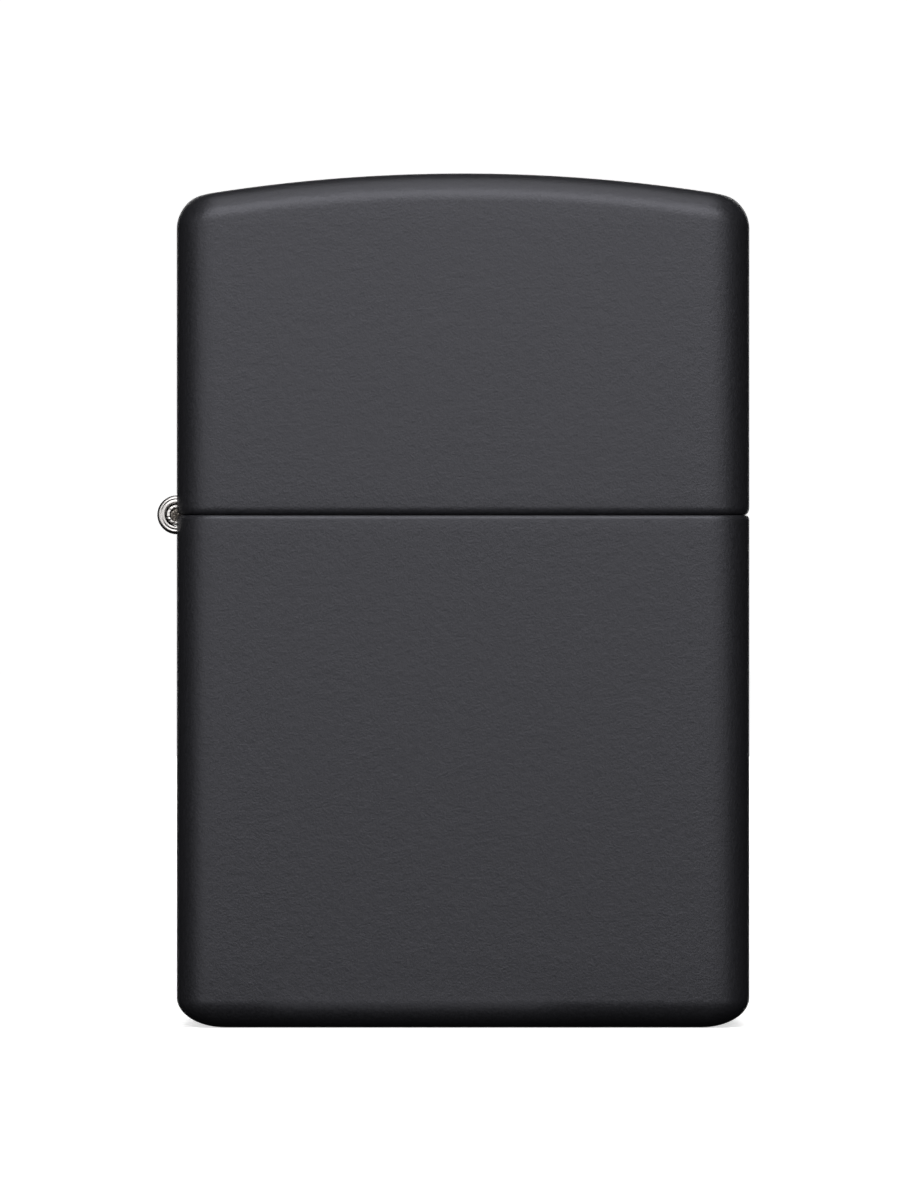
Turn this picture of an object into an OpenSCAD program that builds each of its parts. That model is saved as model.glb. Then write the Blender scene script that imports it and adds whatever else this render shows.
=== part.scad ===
// Flip-top windproof petrol lighter: a drawn two-part case on a five-knuckle hinge,
// holding a slide-in burner unit with wind screen, flint wheel, cam, wick and fuel wadding.
//
// Frame: origin at the centre of the case's underside, +Z up, +X to the right with the
// hinge on the left (-X), -Y is the front. Millimetres. Drawn with the lid closed.

/* [Case] */
// Width of the case across its front, without the hinge
case_w = 38.1; // [37.6:0.1:38.6]
// Depth of the case, front face to back face
case_d = 12.9; // [12.8:0.1:13.3]
// Height of the closed case at the top of its crown
case_h = 56.7; // [56.5:0.1:58]
// Height of the joint between the case and its lid
split_z = 34.05; // [33.8:0.05:34.3]
// Thickness of the drawn case walls
case_wall = 0.7; // [0.6:0.05:0.75]
// Radius of the four upright edges, seen from above
edge_r = 2.9; // [2.6:0.1:3.1]
// Radius of the rounding around the top of the lid
top_fillet = 1.95; // [1.6:0.05:2.2]
// How much narrower that rounding is at the two sides
side_less = 0.25; // [0:0.05:0.4]
// Radius of the crowned top, seen from the front
crown_r = 108; // [90:1:130]
// Gap between the rims of the closed case and lid
rim_gap = 0.1; // [0.06:0.02:0.2]

/* [Hinge] */
// Outer radius of the hinge knuckles
knuckle_r = 1.3; // [1.2:0.05:1.35]
// Radius of the hinge pin
hinge_pin_r = 0.70; // [0.6:0.05:0.75]
// Length of the knuckle row along the depth
hinge_len = 7.6; // [7.2:0.2:8.8]
// Number of knuckles, counting both leaves
knuckles = 5; // [3:2:5]
// How far the lid opens, in degrees
lid_swing = 140; // [120:5:150]

/* [Burner unit] */
// Width of the burner unit's body
unit_w = 35.7; // [35.4:0.1:35.8]
// Depth of the burner unit's body
unit_d = 11.2; // [10.9:0.1:11.3]
// Thickness of the unit's sheet steel
sheet = 0.45; // [0.4:0.05:0.5]
// Height of the unit's shoulder above the rim of the case
shoulder_rise = 1.2; // [0.8:0.1:1.4]
// Height of the wind screen above the shoulder
screen_rise = 17.35; // [16:0.25:17.6]
// Depth of the wind screen over its outer faces
screen_d = 9.4; // [9:0.1:9.6]
// Radius of the vent holes in the wind screen
vent_r = 1.2; // [0.9:0.05:1.3]

/* [Spark] */
// Outer radius of the flint wheel
wheel_r = 3.7; // [3.5:0.05:3.8]
// Width of the flint wheel
wheel_w = 5.2; // [4.8:0.1:5.2]
// Number of teeth around the flint wheel
wheel_teeth = 36; // [28:2:44]
// Radius of the flint
flint_r = 1.25; // [1.2:0.05:1.25]
// Number of turns in the flint spring
spring_turns = 16; // [12:1:20]

/* [Hidden] */
$fn = 48;
cut = 1;                                    // how far a cutter runs past the face it cuts

// Colours of the materials
paint = [0.10, 0.10, 0.11];
steel = [0.78, 0.78, 0.80];
brass = [0.80, 0.66, 0.38];
hard_steel = [0.45, 0.45, 0.47];
cotton = [0.93, 0.91, 0.86];
felt = [0.85, 0.84, 0.80];

// Case
half_w = case_w / 2;
half_d = case_d / 2;
inner_w = half_w - case_wall;
inner_d = half_d - case_wall;
lip = 0.22;                                 // rounding of the two rims that meet
foot_x = 3.1;                               // bottom rounding, measured along the width
foot_y = 2.1;                               // the same along the depth
foot_z = 1.95;                              // the same in height
lid_z0 = split_z + rim_gap / 2;
rim_z = split_z - rim_gap / 2;
arc_steps = 6;                              // facets of a quarter round
long_steps = 10;                            // strips across the crown

// Hinge
hinge_x = -half_w;                          // the axis lies in the case's outer face
knuckle_bore_r = hinge_pin_r + 0.06;
leaf_t = 0.5;
leaf_x = hinge_x + case_wall;               // both leaves lie against the inside of the wall
leaf_w = 7.0;
leaf_reach = 8.5;                           // from the axis to the leaf's far edge
notch_h = knuckle_r + 0.1;                  // half height of the window in the walls
notch_w = hinge_len + 0.3;
knuckle_gap = 0.08;
knuckle_w = (hinge_len - (knuckles - 1) * knuckle_gap) / knuckles;

// Burner unit
unit_x = (inner_w + leaf_x + leaf_t) / 2;   // centred between the right wall and the leaf
unit_z0 = 1.6;
shoulder_z = split_z + shoulder_rise;
unit_r = 2.0;
shoulder_fillet = 1.0;
screen_z = shoulder_z + screen_rise;
screen_x0 = -8.6;                           // closed left end
screen_x1 = 5.0;                            // right edge of the tall part
screen_end_r = 1.8;
plate_t = 0.5;

// Spark wheel and its ears
wheel_x = 8.4;
wheel_z = shoulder_z + 6.35;
axle_r = 1.0;
ear_in = wheel_w / 2 + 0.15;                // half the room between the ears
ear_r = 2.9;
joggle_x0 = 4.0;                            // where the walls start to close in on the wheel
joggle_x1 = 6.4;

// Vents
vent_mid_x = (screen_x0 + screen_x1) / 2;
vent_step_x = 4.0;
vent_step_z = 3.7;
vent_low_z = shoulder_z + 6.55;

// Cam
cam_x = -11.9;
cam_z = shoulder_z + 3.05;
cam_w = 3.2;
cam_swing = 44;
cam_hub_r = 1.9;
cam_nose = [-5.1, -1.3];
cam_nose_r = 0.5;
cam_heel_len = 3.7;
cam_heel_r = 0.6;
cam_pin_r = 0.65;
cam_heel = cam_heel_len * [sin(cam_swing / 2), -cos(cam_swing / 2)];
cam_ear_in = cam_w / 2 + 0.15;

// Flint line
tube_x = wheel_x + 0.2;
tube_in = flint_r + 0.07;
tube_out = tube_in + 0.5;
tube_z0 = 3.2;
tube_z1 = wheel_z - wheel_r - 1.0;
screw_head_r = 2.9;
screw_top = 9.4;
plunger_z0 = 30.6;
flint_z0 = 33.1;

// Wick
wick_x = -1.6;
wick_r = 1.8;
wick_top = wheel_z + 2.6;
wick_hole_r = 2.05;
wick_bend_r = 3.1;
wick_run_z = 30;                            // height of the wick's first level run
left_bend_x = -11.5;
right_bend_x = 1.2;

// Wadding: [low x, high x, low z, high z] of each tuft
tuft_r = 0.88;
tuft_gap = wick_r + 0.15;
room_x0 = unit_x - unit_w / 2 + sheet + 0.3;
room_x1 = unit_x + unit_w / 2 - sheet - 0.3;
room_z0 = 5.3;
room_z1 = shoulder_z - sheet - plate_t - 0.3;
tube_x0 = tube_x - tube_out - 0.3;
tube_x1 = tube_x + tube_out + 0.3;
turn_in = wick_bend_r - wick_r - 0.9;
mid_z = 18.9;
tufts = [[left_bend_x - turn_in, tube_x0, run_z(1) + tuft_gap, run_z(0) - tuft_gap],
         [room_x0, right_bend_x + turn_in, run_z(2) + tuft_gap, run_z(1) - tuft_gap],
         [left_bend_x - turn_in, tube_x0, run_z(3) + tuft_gap, run_z(2) - tuft_gap],
         [room_x0, tube_x0, room_z0, run_z(3) - tuft_gap],
         [tube_x1, room_x1, room_z0, mid_z - 0.15],
         [tube_x1, room_x1, mid_z + 0.15, room_z1],
         [wick_x + wick_r + 0.4, tube_x0, run_z(0) - tuft_gap + 0.3, room_z1]];

// Height of one of the wick's level runs, counted from the top
function run_z(k) = wick_run_z - 2 * wick_bend_r * k;

// ---------------------------------------------------------------- geometry helpers

// Points of an arc, as [x, y]
function arc(c, r, a0, a1, n) =
    [for (i = [0:n]) let (a = a0 + (a1 - a0) * i / n) [c.x + r * cos(a), c.y + r * sin(a)]];

// Front half of a rounded rectangle, left to right
function front_half(hw, hd, r) = concat(
    arc([r - hw, r - hd], r, 180, 270, arc_steps),
    [for (i = [1:long_steps - 1]) [(r - hw) * (1 - 2 * i / long_steps), -hd]],
    arc([hw - r, r - hd], r, 270, 360, arc_steps));

// A whole rounded rectangle, counter-clockwise from above
function rounded(hw, hd, r) =
    let (f = front_half(hw, hd, r), k = len(f))
    concat(f, [for (i = [k - 1:-1:0]) [f[i].x, -f[i].y]]);

// How far the crowned top has dropped at x
function crown_drop(x) = crown_r - sqrt(crown_r * crown_r - x * x);

// A rounded rectangle in space, flat or following the crown
function ring(hw, hd, r, z, crown = 0) =
    [for (p = rounded(hw, hd, max(r, 0.3))) [p.x, p.y, z - crown * crown_drop(p.x)]];

// Outline around two circles of different radius, as [x, y]
function capsule(p1, r1, p2, r2, n = 10) =
    let (d = p2 - p1, turn = atan2(d.y, d.x), open = acos((r1 - r2) / norm(d)))
    concat(arc(p1, r1, turn + open, turn + 360 - open, n),
           arc(p2, r2, turn - open, turn + open, n));

// Skin through a list of rings, closed at both ends by strips from front to back
module loft(rings) {
    m = len(rings[0]);
    n = len(rings);
    last = (n - 1) * m;
    sides = [for (j = [0:n - 2], i = [0:m - 1])
        let (a = j * m + i, b = j * m + (i + 1) % m)
        each [[a, a + m, b + m], [a, b + m, b]]];
    caps = [for (i = [0:m / 2 - 2])
        let (a = i, b = i + 1, c = m - 2 - i, d = m - 1 - i)
        each [[a, b, c], [a, c, d], [last + a, last + c, last + b], [last + a, last + d, last + c]]];
    polyhedron([for (r = rings, p = r) p], concat(sides, caps), convexity = 8);
}

// Tube swept along a list of points
module sweep(path, r, sides = 8) {
    n = len(path);
    function tangent(i) = let (d = path[min(i + 1, n - 1)] - path[max(i - 1, 0)]) d / norm(d);
    points = [for (i = [0:n - 1])
        let (t = tangent(i), u0 = cross([0, 1, 0], t), u = u0 / norm(u0), v = cross(t, u))
        for (s = [0:sides - 1])
            path[i] + r * (cos(360 * s / sides) * u + sin(360 * s / sides) * v)];
    walls = [for (j = [0:n - 2], i = [0:sides - 1])
        let (a = j * sides + i, b = j * sides + (i + 1) % sides)
        each [[a, a + sides, b + sides], [a, b + sides, b]]];
    polyhedron(points, concat(walls, [[for (i = [0:sides - 1]) i]],
                              [[for (i = [sides - 1:-1:0]) (n - 1) * sides + i]]), convexity = 8);
}

// An outline drawn in X and Z, extruded along Y and centred on y = 0
module upright(width) {
    rotate([90, 0, 0])
        linear_extrude(height = width, center = true, convexity = 6)
            children();
}

// A cylinder along Y, centred on y = 0
module rod(x, z, r, length) {
    translate([x, length / 2, z])
        rotate([90, 0, 0])
            cylinder(r = r, h = length);
}

// A rivet along Y with a low domed head at each end
module rivet(x, z, shank_r, head_r, grip, head_h) {
    half = grip / 2;
    crown_at = half + head_h;
    translate([x, 0, z])
        rotate([90, 0, 0])
            rotate_extrude()
                polygon([[0, -crown_at], [0.55 * head_r, -crown_at + 0.12 * head_h],
                         [0.88 * head_r, -half - 0.5 * head_h], [head_r, -half], [shank_r, -half],
                         [shank_r, half], [head_r, half], [0.88 * head_r, half + 0.5 * head_h],
                         [0.55 * head_r, crown_at - 0.12 * head_h], [0, crown_at]]);
}

// ---------------------------------------------------------------- case

// One ring of a skin that is inset along the width, the depth and the corner
function inset_ring(hw, hd, r, in_x, in_y, z, crown = 0) =
    ring(hw - in_x, hd - in_y, r - (in_x + in_y) / 2, z, crown);

// The rounded top of the lid, from its side up to the crown
function top_skin(hw, hd, r, fillet, z_top) =
    [for (s = [0:arc_steps])
        let (a = 90 * s / arc_steps)
        inset_ring(hw, hd, r, (fillet - side_less) * (1 - cos(a)), fillet * (1 - cos(a)),
                   z_top - fillet * (1 - sin(a)), 1)];

// The rounded foot of the case, from its floor up to the side
function foot_skin(hw, hd, r, fx, fy, fz, z_floor) =
    [for (s = [arc_steps:-1:0])
        let (a = 90 * s / arc_steps)
        inset_ring(hw, hd, r, fx * (1 - cos(a)), fy * (1 - cos(a)), z_floor + fz * (1 - sin(a)))];

// The rounded outer lip of a rim; side is 1 where the wall rises from the rim, -1 where it hangs
function lip_rings(z, side) =
    [for (a = [90, 45, 0])
        let (in = lip * (1 - cos(a)))
        inset_ring(half_w, half_d, edge_r, in, in, z + side * lip * (1 - sin(a)))];

function reversed(list) = [for (i = [len(list) - 1:-1:0]) list[i]];

// Window in both walls for the knuckles
module hinge_window() {
    translate([hinge_x - cut, -notch_w / 2, split_z - notch_h])
        cube([case_wall + 2 * cut, notch_w, 2 * notch_h]);
}

module case_bottom() {
    t = case_wall;
    dish_depth = 0.25;
    dish_margin = 1.3;
    outer = foot_skin(half_w, half_d, edge_r, foot_x, foot_y, foot_z, 0);
    inner = foot_skin(inner_w, inner_d, edge_r - t, foot_x - t, foot_y - t, foot_z - t, t);
    color(paint)
        difference() {
            loft(concat(outer, reversed(lip_rings(rim_z, -1)),
                        [ring(inner_w, inner_d, edge_r - t, rim_z)], reversed(inner)));
            hinge_window();
            translate([0, 0, -cut])
                linear_extrude(height = cut + dish_depth)
                    polygon(rounded(half_w - foot_x - dish_margin, half_d - foot_y - dish_margin, 1.4));
        }
}

module case_lid() {
    t = case_wall;
    outer = top_skin(half_w, half_d, edge_r, top_fillet, case_h);
    inner = top_skin(inner_w, inner_d, edge_r - t, top_fillet - t, case_h - t);
    color(paint)
        difference() {
            loft(concat(reversed(inner), [ring(inner_w, inner_d, edge_r - t, lid_z0)],
                        lip_rings(lid_z0, 1), outer));
            hinge_window();
        }
}

// ---------------------------------------------------------------- hinge

// One leaf: a flat plate with every second knuckle, first is the first knuckle it carries
module hinge_leaf(first, side) {
    plate_h = leaf_reach - notch_h;
    pitch = knuckle_w + knuckle_gap;
    translate([leaf_x, -leaf_w / 2, split_z + (side > 0 ? notch_h : -leaf_reach)])
        cube([leaf_t, leaf_w, plate_h]);
    for (i = [first:2:knuckles - 1]) {
        y = -hinge_len / 2 + i * pitch;
        inboard_y = max(y, -leaf_w / 2);
        outboard_y = min(y + knuckle_w, leaf_w / 2);
        difference() {
            union() {
                translate([hinge_x, y + knuckle_w, split_z])
                    rotate([90, 0, 0])
                        cylinder(r = knuckle_r, h = knuckle_w);
                translate([leaf_x, inboard_y, split_z + (side > 0 ? 0 : -notch_h - 0.1)])
                    cube([leaf_t, outboard_y - inboard_y, notch_h + 0.1]);
            }
            rod(hinge_x, split_z, knuckle_bore_r, hinge_len + 2 * cut);
        }
    }
}

module hinge_leaf_lower() {
    color(steel)
        hinge_leaf(0, -1);
}

module hinge_leaf_upper() {
    color(steel)
        hinge_leaf(1, 1);
}

// The pin, with a small coned point at each peened end
module hinge_pin() {
    half = hinge_len / 2;
    point = 0.12;
    color(steel)
        translate([hinge_x, 0, split_z])
            rotate([90, 0, 0])
                rotate_extrude()
                    polygon([[0, -half - point], [hinge_pin_r * 0.7, -half - point], [hinge_pin_r, -half],
                             [hinge_pin_r, half], [hinge_pin_r * 0.7, half + point], [0, half + point]]);
}

// ---------------------------------------------------------------- burner unit

// Outer face of the screen's back wall at x: full depth, then closing in on the wheel
function screen_y(x) =
    let (t = min(max((x - joggle_x0) / (joggle_x1 - joggle_x0), 0), 1))
    screen_d / 2 - (screen_d / 2 - ear_in - sheet) * t * t * (3 - 2 * t);

// Back half of the screen's plan, from the closed end to the open end; in is the inset
function screen_half(in) = concat(
    reversed(arc([screen_x0 + screen_end_r, screen_d / 2 - screen_end_r], screen_end_r - in, 90, 180, 6)),
    [for (i = [0:8]) let (x = joggle_x0 + (joggle_x1 - joggle_x0) * i / 8) [x, screen_y(x) - in]],
    [[wheel_x + 5, ear_in + sheet - in]]);

function mirrored(half) = [for (p = reversed(half)) [p.x, -p.y]];

// Plan of the screen's sheet metal
module screen_plan() {
    outer = screen_half(0);
    inner = screen_half(sheet);
    polygon(concat(mirrored(outer), outer, reversed(inner), reversed(mirrored(inner))));
}

// Plan of the room inside the screen
module screen_room() {
    inner = screen_half(sheet);
    polygon(concat(mirrored(inner), inner));
}

// The screen seen from the front: tall part, hollow sweep, and the ear around the axle
module screen_front() {
    base_z = shoulder_z - sheet / 2;
    corner = 1.6;
    hollow = 3.2;
    hollow_x = screen_x1 + hollow;
    reach = ear_r + hollow;
    hollow_z = wheel_z + sqrt(reach * reach - (hollow_x - wheel_x) * (hollow_x - wheel_x));
    meet = atan2(hollow_z - wheel_z, hollow_x - wheel_x);
    foot_r = 1.2;
    polygon(concat(
        [[screen_x0 - cut, base_z], [wheel_x + ear_r + foot_r, base_z]],
        arc([wheel_x + ear_r + foot_r, shoulder_z + foot_r], foot_r, 270, 180, 6),
        arc([wheel_x, wheel_z], ear_r, 0, meet, 14),
        arc([hollow_x, hollow_z], hollow, meet + 180, 180, 10),
        arc([screen_x1 - corner, screen_z - corner], corner, 0, 90, 6),
        [[screen_x0 - cut, screen_z]]));
}

// Ears that hold the cam, seen from the front
module cam_ear_front() {
    root_x = screen_x0 + sheet / 2;
    hub = 1.7;
    polygon(concat(
        [[root_x, shoulder_z - sheet / 2], [root_x, cam_z + 2.6], [root_x - 0.6, cam_z + 2.6]],
        arc([cam_x, cam_z], hub, 70, 180, 8),
        [[cam_x - hub, shoulder_z - sheet / 2]]));
}

module unit_body_outline(in) {
    polygon(rounded(unit_w / 2 - in, unit_d / 2 - in, unit_r - in));
}

module unit_shell() {
    body_top = [for (s = [0:arc_steps])
        let (a = 90 * s / arc_steps, in = shoulder_fillet * (1 - cos(a)))
        inset_ring(unit_w / 2, unit_d / 2, unit_r, in, in,
                   shoulder_z - shoulder_fillet * (1 - sin(a)))];
    color(steel)
        difference() {
            union() {
                translate([unit_x, 0, 0])
                    difference() {
                        loft(concat([ring(unit_w / 2, unit_d / 2, unit_r, unit_z0)], body_top));
                        translate([0, 0, unit_z0 - cut])
                            linear_extrude(height = shoulder_z - sheet - unit_z0 + cut)
                                unit_body_outline(sheet);
                    }
                intersection() {
                    translate([0, 0, shoulder_z - sheet / 2])
                        linear_extrude(height = screen_rise + sheet)
                            screen_plan();
                    upright(unit_d)
                        screen_front();
                }
                for (side = [-1, 1])
                    translate([0, side * (cam_ear_in + sheet / 2), 0])
                        upright(sheet)
                            cam_ear_front();
            }
            // the shoulder is open inside the screen and under the cam
            translate([0, 0, shoulder_z - 2 * sheet])
                linear_extrude(height = 2 * sheet + cut)
                    intersection() {
                        screen_room();
                        translate([screen_x0, -screen_d])
                            square([wheel_x + ear_r - screen_x0, 2 * screen_d]);
                    }
            translate([cam_x - 2.7, -cam_ear_in, shoulder_z - 2 * sheet])
                cube([5.0, 2 * cam_ear_in, 2 * sheet + cut]);
            for (row = [0:2], column = [0:(row == 1 ? 1 : 2)])
                rod(vent_mid_x + vent_step_x * (column - (row == 1 ? 0.5 : 1)),
                    vent_low_z + row * vent_step_z, vent_r, 2 * unit_d);
            rod(wheel_x, wheel_z, axle_r + 0.03, 2 * unit_d);
            rod(cam_x, cam_z, cam_pin_r + 0.03, 2 * unit_d);
        }
}

module top_plate() {
    collar_h = 1.4;
    top = shoulder_z - sheet;
    color(steel)
        difference() {
            union() {
                translate([unit_x, 0, top - plate_t])
                    linear_extrude(height = plate_t)
                        unit_body_outline(sheet + 0.05);
                translate([wick_x, 0, top - plate_t / 2])
                    cylinder(r = wick_hole_r + 0.4, h = plate_t / 2 + collar_h);
            }
            translate([wick_x, 0, top - plate_t - cut])
                cylinder(r = wick_hole_r, h = 2 * cut + plate_t + collar_h);
            translate([tube_x, 0, top - plate_t - cut])
                cylinder(r = tube_out + 0.03, h = 2 * cut + plate_t);
            translate([cam_x - 2.7, -cam_ear_in, top - plate_t - cut])
                cube([5.0, 2 * cam_ear_in, plate_t + 2 * cut]);
        }
}

// ---------------------------------------------------------------- cam

module cam() {
    channel_w = cam_w - 1.1;
    color(steel)
        translate([cam_x, 0, cam_z])
            difference() {
                union() {
                    difference() {
                        upright(cam_w)
                            polygon(capsule([0, 0], cam_hub_r, cam_nose, cam_nose_r));
                        // the nose is a channel, open underneath
                        upright(channel_w)
                            polygon([[-1.9, -3], [-1.9, 1.0], [-4.6, -0.95], [-4.6, -3]]);
                    }
                    upright(cam_w)
                        polygon(capsule([0, 0], cam_hub_r - 0.4, cam_heel, cam_heel_r));
                }
                rod(0, 0, cam_pin_r + 0.06, 2 * cam_w);
            }
}

module cam_rivet() {
    color(steel)
        rivet(cam_x, cam_z, cam_pin_r, 1.25, 2 * (cam_ear_in + sheet), 0.4);
}

// Leaf spring under the plate, drawn at the height it has when the cam is half way
module cam_spring() {
    t = 0.25;
    root_z = shoulder_z - sheet - plate_t - t / 2;
    line = [[wick_x - 2.6, root_z], [wick_x - 4.6, root_z], [-7.6, root_z - 0.12], [-9.4, root_z - 0.38],
            [cam_x, root_z - 0.5], [-13.8, root_z - 0.42], [-14.9, root_z - 0.75]];
    color(steel)
        upright(2.6)
            polygon(concat([for (p = line) p + [0, t / 2]], [for (p = reversed(line)) p - [0, t / 2]]));
}

// ---------------------------------------------------------------- spark

// Saw-toothed wheel with eased ends and a bore for its rivet
module flint_wheel() {
    depth = 0.28;
    ease = 0.3;
    pitch = 360 / wheel_teeth;
    half = wheel_w / 2;
    color(hard_steel)
        translate([wheel_x, 0, wheel_z])
            difference() {
                intersection() {
                    upright(wheel_w)
                        polygon([for (i = [0:wheel_teeth - 1])
                            each [wheel_r * [cos(i * pitch), sin(i * pitch)],
                                  (wheel_r - depth) * [cos((i + 0.3) * pitch), sin((i + 0.3) * pitch)]]]);
                    rotate([90, 0, 0])
                        rotate_extrude()
                            polygon([[0, -half], [wheel_r - ease, -half], [wheel_r + cut, ease + cut - half],
                                     [wheel_r + cut, half - ease - cut], [wheel_r - ease, half], [0, half]]);
                }
                rod(0, 0, axle_r + 0.06, 2 * wheel_w);
            }
}

module wheel_rivet() {
    color(steel)
        rivet(wheel_x, wheel_z, axle_r, 1.75, 2 * (ear_in + sheet), 0.5);
}

// The flint, worn hollow by the wheel above it
module flint() {
    color(hard_steel)
        difference() {
            translate([tube_x, 0, flint_z0])
                cylinder(r = flint_r, h = wheel_z - wheel_r - flint_z0 + 0.5);
            rod(wheel_x, wheel_z, wheel_r + 0.06, 4 * flint_r);
        }
}

module flint_plunger() {
    stem_h = 1.2;
    color(brass)
        translate([tube_x, 0, plunger_z0])
            union() {
                cylinder(r = flint_r - 0.05, h = flint_z0 - plunger_z0 - 0.02);
                translate([0, 0, -stem_h])
                    cylinder(r = 0.6, h = stem_h + 0.1);
            }
}

module flint_spring() {
    wire = 0.19;
    coil_r = flint_r - 0.1 - wire;
    z0 = screw_top + wire + 0.02;
    z1 = plunger_z0 - wire - 0.02;
    per_turn = 12;
    count = spring_turns * per_turn;
    color(steel)
        translate([tube_x, 0, 0])
            coil([for (i = [0:count])
                let (a = 360 * i / per_turn)
                [coil_r * cos(a), coil_r * sin(a), z0 + (z1 - z0) * i / count]], wire);
}

// A six-sided wire along a helix around Z
module coil(path, r) {
    n = len(path);
    sides = 6;
    points = [for (i = [0:n - 1])
        let (out = [path[i].x, path[i].y, 0], u = out / norm(out))
        for (s = [0:sides - 1])
            path[i] + r * (cos(360 * s / sides) * u + [0, 0, sin(360 * s / sides)])];
    walls = [for (j = [0:n - 2], i = [0:sides - 1])
        let (a = j * sides + i, b = j * sides + (i + 1) % sides)
        each [[a, b, b + sides], [a, b + sides, a + sides]]];
    polyhedron(points, concat(walls, [[for (i = [sides - 1:-1:0]) i]],
                              [[for (i = [0:sides - 1]) (n - 1) * sides + i]]), convexity = 8);
}

module flint_tube() {
    color(brass)
        translate([tube_x, 0, tube_z0])
            difference() {
                cylinder(r = tube_out, h = tube_z1 - tube_z0);
                translate([0, 0, -cut])
                    cylinder(r = tube_in, h = tube_z1 - tube_z0 + 2 * cut);
            }
}

// Slotted thumb screw that closes the flint tube; its thread is drawn as rings
module flint_screw() {
    head_z0 = unit_z0 + 0.15;
    head_h = tube_z0 - head_z0 - 0.02;
    shank = flint_r - 0.02;
    groove = 0.18;
    threads = 9;
    pitch = 0.6;
    thread_z0 = tube_z0 + 0.4;
    spigot_r = 0.55;
    color(brass)
        translate([tube_x, 0, 0])
            difference() {
                rotate_extrude()
                    polygon(concat(
                        [[0, head_z0], [screw_head_r - 0.3, head_z0], [screw_head_r, head_z0 + 0.3],
                         [screw_head_r, head_z0 + head_h], [shank, head_z0 + head_h]],
                        [for (i = [0:threads - 1])
                            each [[shank, thread_z0 + i * pitch],
                                  [shank - groove, thread_z0 + (i + 0.5) * pitch]]],
                        [[shank, screw_top - 0.3], [shank - 0.2, screw_top], [spigot_r, screw_top],
                         [spigot_r, screw_top + 1.4], [0, screw_top + 1.4]]));
                translate([-screw_head_r - cut, -0.35, head_z0 - cut])
                    cube([2 * (screw_head_r + cut), 0.7, cut + 0.65]);
            }
}

// ---------------------------------------------------------------- fuel and wick

// The wick stands in its collar, then folds back and forth between the tufts
module wick() {
    route = concat(
        [[wick_x, wick_top], [wick_x, (wick_top + wick_run_z) / 2]],
        arc([wick_x - wick_bend_r, wick_run_z + wick_bend_r], wick_bend_r, 0, -90, 4),
        arc([left_bend_x, run_z(0.5)], wick_bend_r, 90, 270, 6),
        arc([right_bend_x, run_z(1.5)], wick_bend_r, 90, -90, 6),
        arc([left_bend_x, run_z(2.5)], wick_bend_r, 90, 270, 6),
        [[right_bend_x + 2, run_z(3)]]);
    color(cotton)
        sweep([for (p = route) [p.x, 0, p.y]], wick_r);
}

// One tuft of fibre, rounded on every side
module wadding(i) {
    t = tufts[i];
    hw = (t[1] - t[0]) / 2;
    hd = unit_d / 2 - sheet - 0.25;
    steps = [90, 60, 30, 0];
    color(cotton)
        translate([(t[0] + t[1]) / 2, 0, 0])
            loft(concat(
                [for (a = steps) let (in = tuft_r * (1 - cos(a)))
                    inset_ring(hw, hd, 1.6, in, in, t[2] + tuft_r * (1 - sin(a)))],
                [for (a = reversed(steps)) let (in = tuft_r * (1 - cos(a)))
                    inset_ring(hw, hd, 1.6, in, in, t[3] - tuft_r * (1 - sin(a)))]));
}

module felt_pad() {
    color(felt)
        difference() {
            translate([unit_x, 0, unit_z0 + 0.7])
                linear_extrude(height = 2.5)
                    unit_body_outline(sheet + 0.1);
            translate([tube_x, 0, unit_z0])
                cylinder(r = screw_head_r + 0.25, h = 5);
        }
}

case_bottom();
case_lid();
hinge_leaf_lower();
hinge_leaf_upper();
hinge_pin();
unit_shell();
top_plate();
cam();
cam_rivet();
cam_spring();
flint_wheel();
wheel_rivet();
flint();
flint_plunger();
flint_spring();
flint_tube();
flint_screw();
wick();
felt_pad();
for (i = [0:len(tufts) - 1])
    wadding(i);
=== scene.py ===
"""A flip-top windproof petrol lighter in matte black: its case, hinge and burner unit."""

import math

import bmesh
import bpy
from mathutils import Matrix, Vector, noise


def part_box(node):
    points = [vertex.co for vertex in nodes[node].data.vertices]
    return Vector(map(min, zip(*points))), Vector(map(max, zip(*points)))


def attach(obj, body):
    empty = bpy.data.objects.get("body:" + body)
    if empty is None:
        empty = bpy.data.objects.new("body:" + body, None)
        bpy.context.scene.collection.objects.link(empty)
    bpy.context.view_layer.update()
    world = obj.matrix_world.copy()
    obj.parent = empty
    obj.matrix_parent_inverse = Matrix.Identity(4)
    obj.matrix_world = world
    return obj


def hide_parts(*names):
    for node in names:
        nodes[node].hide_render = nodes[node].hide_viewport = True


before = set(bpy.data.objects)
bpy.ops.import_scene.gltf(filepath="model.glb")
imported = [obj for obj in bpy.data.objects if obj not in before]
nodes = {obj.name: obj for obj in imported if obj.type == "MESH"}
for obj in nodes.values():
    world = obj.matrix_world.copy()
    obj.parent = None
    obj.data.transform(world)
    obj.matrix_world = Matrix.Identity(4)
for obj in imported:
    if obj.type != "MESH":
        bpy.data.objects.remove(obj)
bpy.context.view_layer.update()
scene = bpy.context.scene
MM = 0.001

# ---------------------------------------------------------------- camera

lens = bpy.data.cameras.new("camera")
lens.lens, lens.sensor_width = 200, 36
lens.clip_start, lens.clip_end = 0.01, 50
camera = bpy.data.objects.new("camera", lens)
camera.location = (-0.00057, -0.4471, 0.02838)
camera.rotation_euler = (math.pi / 2, 0, 0)
scene.collection.objects.link(camera)
scene.camera = camera

# ---------------------------------------------------------------- sizes, in millimetres

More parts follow.
